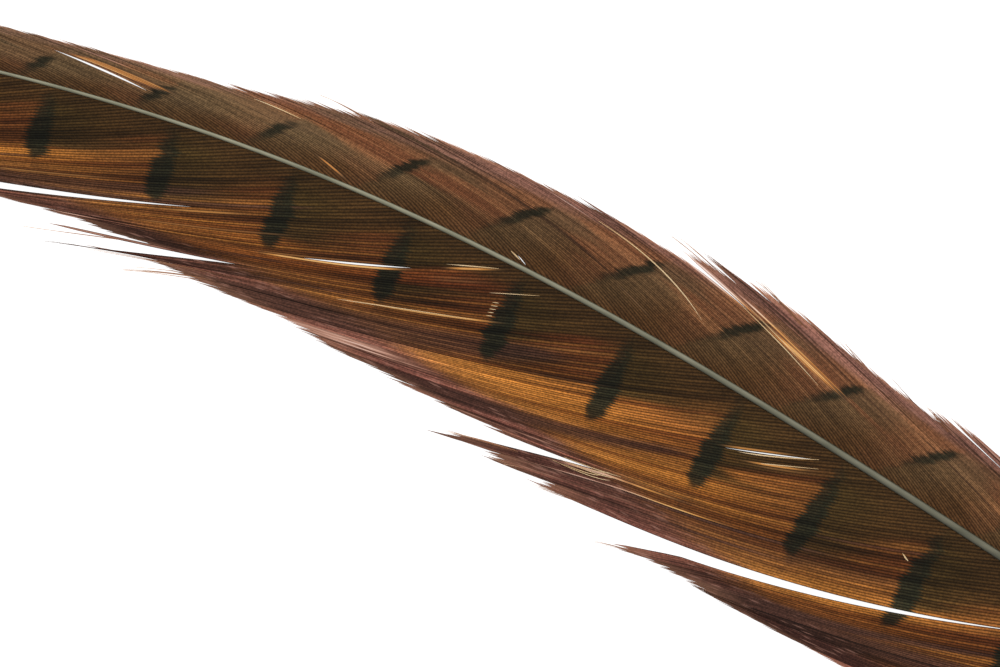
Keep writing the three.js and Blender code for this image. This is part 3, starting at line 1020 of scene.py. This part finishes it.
def strand(vane, start, middle, end, thickness=1.0, lift=0.0, even=0.0):
    """A thin rod through three places, each a station and a distance from the shaft."""
    t = np.linspace(0, 1, STRAND_STEPS + 1)
    start, middle, end = (np.array(place, dtype=float)[:, None] for place in (start, middle, end))
    bend = 2 * middle - (start + end) / 2
    station, sideways = (1 - t) ** 2 * start + 2 * t * (1 - t) * bend + t**2 * end
    reach = np.clip(sideways / smooth_between(vane["margin"], station), 0, 1)
    x, y = beside(station, vane["sign"] * sideways)
    z = np.maximum(vane_height(vane, station, reach) + lift * t, STRAND_LOWEST)
    line = np.stack([x, y, z], axis=1)
    ahead = np.gradient(line, axis=0)
    ahead /= np.linalg.norm(ahead, axis=1, keepdims=True)
    across = np.stack([-ahead[:, 1], ahead[:, 0], np.zeros_like(z)], axis=1)
    above = np.cross(ahead, across)
    tapering = 1 - 0.85 * t**1.5
    rounded = np.sin(np.pi * np.clip(t, 0.03, 0.97)) ** 0.5
    thinning = (1 - even) * tapering + even * rounded
    radius = STRAND_RADIUS * thickness * thinning[:, None]
    return np.stack(
        [
            line + radius * (math.cos(turn) * across + math.sin(turn) * above)
            for turn in np.radians([90, 210, 330])
        ],
        axis=1,
    )


strands = []
luck = np.random.default_rng(19)


def spray(vane, start, middle, end, count, scatter):
    """Several strands that leave together and end apart."""
    for _ in range(count):
        shift = luck.normal(0, scatter, (3, 2)) * [[1, 0.15], [1, 0.25], [2, 0.4]]
        thickness, lift = luck.uniform(0.8, 1.5), luck.uniform(-0.1, 0.5)
        places = [np.add(place, moved) for place, moved in zip((start, middle, end), shift)]
        strands.append(strand(vane, *places, thickness, lift))


spray(wide, (296, 14.6), (306, 15.9), (314.4, 17.1), count=2, scatter=0.25)
spray(wide, (296, 15.4), (303.5, 16.6), (311, 18.2), count=5, scatter=0.45)
spray(wide, (256, 18.9), (261, 19.9), (265.4, 20.7), count=5, scatter=0.25)
spray(wide, (243.5, 19.9), (248.5, 20.7), (252.5, 21.4), count=8, scatter=0.45)
spray(wide, (250, 19.6), (255, 20.4), (258.6, 21), count=5, scatter=0.35)
spray(wide, (234, 21.3), (239, 22.5), (243.2, 23.6), count=3, scatter=0.25)
spray(wide, (310, 14.6), (317, 15.8), (323, 16.6), count=2, scatter=0.5)
spray(narrow, (243.4, 9.5), (248.6, 10.7), (252.7, 11.4), count=3, scatter=0.15)
spray(narrow, (243.4, 10), (248.2, 11.1), (251.7, 11.7), count=2, scatter=0.15)
spray(narrow, (234.5, 10.2), (238.6, 11.3), (242, 12.1), count=4, scatter=0.35)
spray(narrow, (224.6, 9.6), (227.6, 10.3), (230, 11.1), count=3, scatter=0.25)
spray(narrow, (215, 8.3), (220.2, 9.7), (223.6, 10.7), count=1, scatter=0.05)
spray(narrow, (213.6, 8.8), (215.8, 9.3), (217.7, 9.9), count=3, scatter=0.2)
spray(narrow, (288, 7.9), (292, 8.4), (295, 8.6), count=2, scatter=0.2)

# and a few more at each parting along the rest of both vanes
for vane in (wide, narrow):
    for station, _, closes, spread, *_ in vane["splits"][1:-1]:
        if closes is not None or PLACED_FROM < station < PLACED_TO:
            continue
        stations, _ = lay_barbs(vane, np.array([station - 2.0]), np.array([0.97]))
        leaves = stations[0, -1]
        length = luck.uniform(3, 7)
        out = smooth_between(vane["margin"], leaves) + 0.7 * spread
        spray(
            vane,
            (leaves - 3, 0.9 * out),
            (leaves + 0.4 * length, out + 0.05 * length),
            (min(leaves + length, FEATHER_LENGTH + 1), out + 0.14 * length),
            count=int(luck.integers(1, 4)),
            scatter=0.3,
        )

# here and there one barb stands proud of its web all along, and shines: its cream colour is a
# painted highlight
loose_count = len(strands)
shining = [
    (wide, (274.4, 3.75), (271.2, 2.5), (268, 1.25), 1.3),
    (wide, (268.8, 4.65), (265.6, 3.3), (262.4, 1.9), 0.8),
    (wide, (286, 12.9), (278.5, 10.95), (268, 7.8), 0.9),
    (wide, (234.4, 6.4), (230.2, 4.7), (225, 1.95), 1.5),
    (wide, (231, 6.1), (228.5, 4.9), (224.5, 2.9), 1.0),
    (narrow, (244.2, 4.41), (251.4, 7.4), (260.4, 8.9), 1.5),
    (narrow, (266.2, 0.7), (266.9, 0.95), (267.7, 1.2), 1.6),
    (narrow, (229.6, 5.27), (235.4, 6.95), (241.6, 8.5), 1.2),
    (narrow, (230.4, 6.0), (235.6, 7.4), (240.6, 8.7), 0.9),
    (narrow, (301.4, 5.5), (298.4, 5.4), (295.6, 5.2), 1.2),
    (wide, (210, 6.25), (210.5, 6.1), (211.1, 5.85), 1.8),
]
for i in range(5):
    sideways = 4.9 + 0.42 * i
    fleck = [(266.5 + 0.4 * side, sideways + 0.14 * side) for side in (-1, 0, 1)]
    shining.append((wide, *fleck, 0.9))
for i in range(5):
    away, short = 0.24 * i, 1.2 * (i % 2)
    start = (243.6 + away + short, 15.5 + away)
    end = (250.8 + away - short, 16.8 + away)
    shining.append((wide, start, (247, 16.25 + away), end, 0.8))
for vane, start, middle, end, thickness in shining:
    strands.append(strand(vane, start, middle, end, thickness, lift=0.26, even=1.0))

loose_barbs = strip_mesh("loose_barbs", np.stack(strands), inside_out=False)
corners_held = (len(strands), STRAND_STEPS + 1, 3)
outwards = np.linspace(0, 1, STRAND_STEPS + 1)[None, :, None]
keep_attribute(loose_barbs, "outwards", np.broadcast_to(outwards, corners_held))
# the proud, shining barbs take tint 1, the cream of a painted highlight
tints = np.where(np.arange(len(strands)) < loose_count, 0.6 * luck.random(len(strands)), 1.0)
keep_attribute(loose_barbs, "tint", np.broadcast_to(tints[:, None, None], corners_held))

hair = Finish("loose_barbs_rods", roughness=0.55, specular=0.15)
body = hair.ramp(hair.attribute("tint"), [(0, shade(104, 66, 50)), (0.6, shade(178, 128, 96)),
                                          (1, shade(244, 216, 172))])
tip = hair.ramp(hair.attribute("tint"), [(0, shade(160, 116, 92)), (0.6, shade(222, 184, 152)),
                                         (1, shade(236, 200, 148))])
grown = hair.times_plus(hair.noise(2500, 2), 0.3, hair.attribute("outwards"))
hair.paint(hair.blend(hair.step(grown, 0.35, 1.1), body, tip))
loose_barbs.data.materials.append(hair.material)
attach(loose_barbs, "root")
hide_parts("feather")

# ---- The down
# The lowest barbs, next to the bare calamus, have no hooks. They stay soft and wavy, with
# long loose barbules along both sides, and are pale grey-brown.

DOWN_FROM = 34
DOWN_TO = 64
DOWN_PER_SIDE = 60
DOWN_STEPS = 16
DOWN_RADIUS = 0.05
DOWN_LOWEST = 0.2
BARBULES = 36
BARBULE_RADIUS = 0.026
BARBULE_LOWEST = 0.12


def down_feather(sign, station, length, seed):
    """One downy barb: the line and radius of its wavy rod, and of each of its barbules."""
    luck = np.random.default_rng(seed)
    t = np.linspace(0, 1, DOWN_STEPS + 1)
    heading = float(heading_at(np.array(station)))
    closing = 14 * (station - DOWN_FROM) / (DOWN_TO - DOWN_FROM)
    spread = math.radians(luck.uniform(48, 72) - closing)
    swing = luck.uniform(-0.5, 0.5) + 0.55 * np.sin(luck.uniform(4, 7) * t + luck.uniform(0, 6)) * t
    turn = heading + sign * (spread - 0.5 * t + swing * 0.6)
    step = length / DOWN_STEPS
    x, y = beside(np.array(float(station)), sign * 0.35 * float(shaft_width(np.array(station))))
    x = x + np.concatenate([[0], np.cumsum(np.cos(turn[1:]) * step)])
    y = y + np.concatenate([[0], np.cumsum(np.sin(turn[1:]) * step)])
    low = float(underside_height(np.array(station)))
    rise = luck.uniform(0.1, 2.2)
    z = low + 0.5 + rise * np.sin(math.pi * t * luck.uniform(0.5, 1)) * t**0.5
    line = np.stack([x, y, np.maximum(z, DOWN_LOWEST)], axis=1)
    rods = [(line, DOWN_RADIUS)]
    for i, place in enumerate(np.linspace(0.06, 0.99, BARBULES)):
        for side in (-1, 1):
            start = np.array([np.interp(place, t, line[:, k]) for k in range(3)])
            lean = np.interp(place, t, turn) + side * luck.uniform(0.5, 1.1)
            reach = luck.uniform(1.4, 2.8) * (1 - 0.5 * place)
            along = np.linspace(0, 1, 4)[:, None]
            curl = luck.uniform(-0.5, 0.5)
            offset = np.concatenate(
                [
                    reach * along * np.cos(lean + curl * along),
                    reach * along * np.sin(lean + curl * along),
                    reach * along * luck.uniform(-0.15, 0.35),
                ],
                axis=1,
            )
            barbule = start + offset
            barbule[:, 2] = np.maximum(barbule[:, 2], BARBULE_LOWEST)
            rods.append((barbule, BARBULE_RADIUS))
    return rods


def thin_rod(line, radius):
    """The corners of a three-sided rod along a line, thinning to a quarter."""
    ahead = np.gradient(line, axis=0)
    ahead /= np.linalg.norm(ahead, axis=1, keepdims=True)
    across = np.stack([-ahead[:, 1], ahead[:, 0], np.zeros(len(line))], axis=1)
    across /= np.linalg.norm(across, axis=1, keepdims=True)
    above = np.cross(ahead, across)
    taper = radius * np.linspace(1, 0.25, len(line))[:, None]
    corners = [math.cos(a) * across + math.sin(a) * above for a in np.radians([90, 210, 330])]
    return np.stack([line + taper * corner for corner in corners], axis=1)


luck = np.random.default_rng(23)
rods, barbules = [], []
for sign in (1, -1):
    for i in range(DOWN_PER_SIDE):
        station = DOWN_FROM + (DOWN_TO - DOWN_FROM) * (i + luck.random()) / DOWN_PER_SIDE
        length = luck.uniform(0.75, 1.1) * np.interp(station, (34, 48, 64), (8, 14, 17))
        if sign < 0:
            length *= 0.62
        made = down_feather(sign, station, length, seed=100 + i + 60 * (sign > 0))
        rods.append(thin_rod(*made[0]))
        barbules.extend(thin_rod(*one) for one in made[1:])
down_rods = strip_mesh("down_rods", np.stack(rods), inside_out=False)
down_fluff = strip_mesh("down_fluff", np.stack(barbules), inside_out=False)
for one in bpy.context.scene.objects:
    one.select_set(one in (down_rods, down_fluff))
bpy.context.view_layer.objects.active = down_rods
bpy.ops.object.join()
down = down_rods
down.name = "down"

fluff = Finish("down_fluff", roughness=0.75, specular=0.1)
soft = fluff.noise(260, 3)
fluff.paint(fluff.ramp(soft, [(0.3, shade(126, 110, 95)), (0.55, shade(158, 142, 124)),
                              (0.75, shade(178, 162, 142))]))
down.data.materials.append(fluff.material)
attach(down, "root")
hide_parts("feather")

# ---- The light table and the camera
# The feather lies on a white sheet that glows softly, under even studio light, and is seen
# from straight above.

deselect_all()
bpy.ops.mesh.primitive_plane_add(size=12, location=(0, 0, -0.0002))
table = bpy.context.object
table.name = "light_table"
sheet = Finish("white_sheet", roughness=0.9, specular=0.0)
grain = sheet.noise(3, 2)
sheet.paint(sheet.ramp(grain, [(0, (0.3, 0.3, 0.3)), (1, (0.32, 0.32, 0.32))]))
sheet.shader.inputs["Emission Color"].default_value = (1, 1, 1, 1)
sheet.shader.inputs["Emission Strength"].default_value = 0.95
table.data.materials.append(sheet.material)

room = bpy.data.worlds.new("studio")
room.use_nodes = True
room.node_tree.nodes["Background"].inputs["Color"].default_value = (1, 1, 1, 1)
room.node_tree.nodes["Background"].inputs["Strength"].default_value = 0.8
bpy.context.scene.world = room
bpy.context.scene.view_settings.view_transform = "Standard"

lamp_data = bpy.data.lights.new("window", "AREA")
lamp_data.shape = "RECTANGLE"
lamp_data.size = 0.8
lamp_data.size_y = 0.5
lamp_data.energy = 4
lamp = bpy.data.objects.new("window", lamp_data)
lamp.location = (0.25, -0.55, 0.9)
lamp.rotation_euler = (math.radians(31), math.radians(14), 0)
bpy.context.scene.collection.objects.link(lamp)

VIEW_WIDTH = 115 * MM
LENS = 100
SENSOR = 36
CAMERA_NEAR = 0.01
CAMERA_FAR = 20

# which station stands at the middle of the frame's width, how far above the frame's centre,
# and which way the shaft heads there, in degrees
SHAFT_AT_CENTRE = 268.5
ABOVE_CENTRE = 8.8
SHAFT_SLOPE = 153.3

camera_data = bpy.data.cameras.new("camera")
camera_data.lens = LENS
camera_data.sensor_width = SENSOR
camera = bpy.data.objects.new("camera", camera_data)
bpy.context.scene.collection.objects.link(camera)
turn = math.radians(SHAFT_SLOPE) - float(heading_at(np.array(SHAFT_AT_CENTRE)))
aim_x, aim_y = beside(np.array(SHAFT_AT_CENTRE), 0.0)
aim_x = float(aim_x) - ABOVE_CENTRE * math.sin(turn)
aim_y = float(aim_y) - ABOVE_CENTRE * math.cos(turn)
camera.location = (aim_x * MM, aim_y * MM, VIEW_WIDTH * LENS / SENSOR + 0.001)
camera.rotation_euler = (0, 0, -turn)
camera_data.clip_start = CAMERA_NEAR
camera_data.clip_end = CAMERA_FAR
bpy.context.scene.camera = camera
